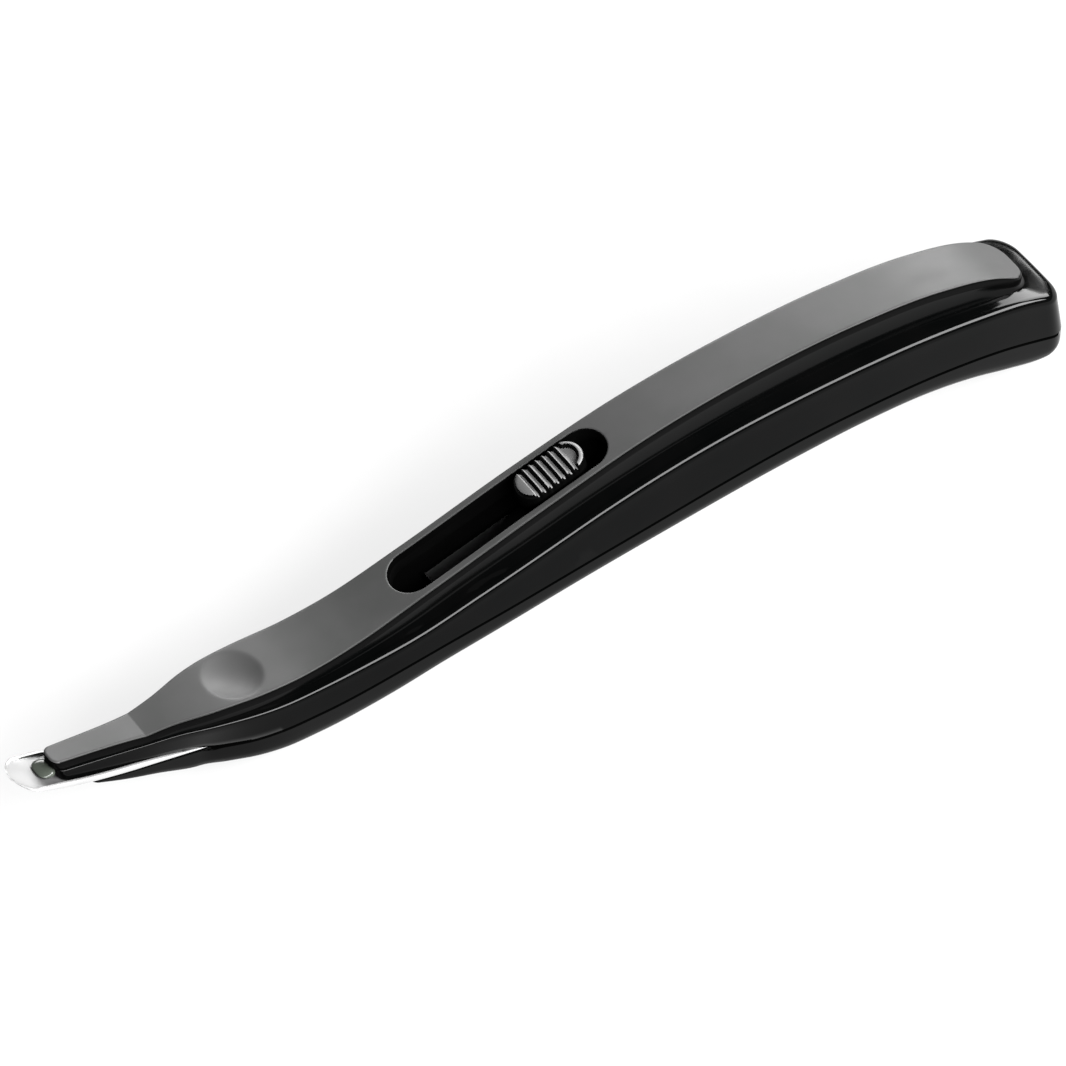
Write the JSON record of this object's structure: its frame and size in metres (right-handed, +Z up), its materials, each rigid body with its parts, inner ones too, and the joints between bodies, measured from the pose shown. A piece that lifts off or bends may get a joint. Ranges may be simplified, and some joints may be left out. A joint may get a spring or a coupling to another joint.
{
  "type": "staple remover",
  "caption": "Pen shaped magnetic staple remover: steel lifting blade at the tip, curved two shell handle with a satin back strip and a sliding ribbed thumb button that carries the magnet.",
  "frame": {"origin": "bottom centre of the bounding box, on the surface the tool lies on", "axes": "+X from the blade tip towards the butt, +Y across the width, +Z up, out of the satin strip"},
  "size_m": [0.1644, 0.0154, 0.0252],
  "materials": {
    "strip": "satin",
    "shell": "gloss",
    "blade_steel": "bright",
    "insert": "gloss",
    "track": "semi gloss",
    "button": "semi gloss",
    "carriage": "moulded",
    "magnet": "nickel plated",
    "spring_steel": "bright"
  },
  "bodies": {
    "handle": {"upper_shell": "shell", "lower_shell": "shell", "top_strip": "strip", "slide_track": "track", "blade": "blade_steel", "tip_insert": "insert"},
    "slider": {"slide_button": "button", "slide_carriage": "carriage", "magnet": "magnet", "detent_spring": "spring_steel"}
  },
  "joints": [
    {"name": "button_slide", "type": "slide", "parent": "handle", "child": "slider", "axis": [-0.9715, 0, -0.2371], "range_m": [0, 0.018]}
  ]
}
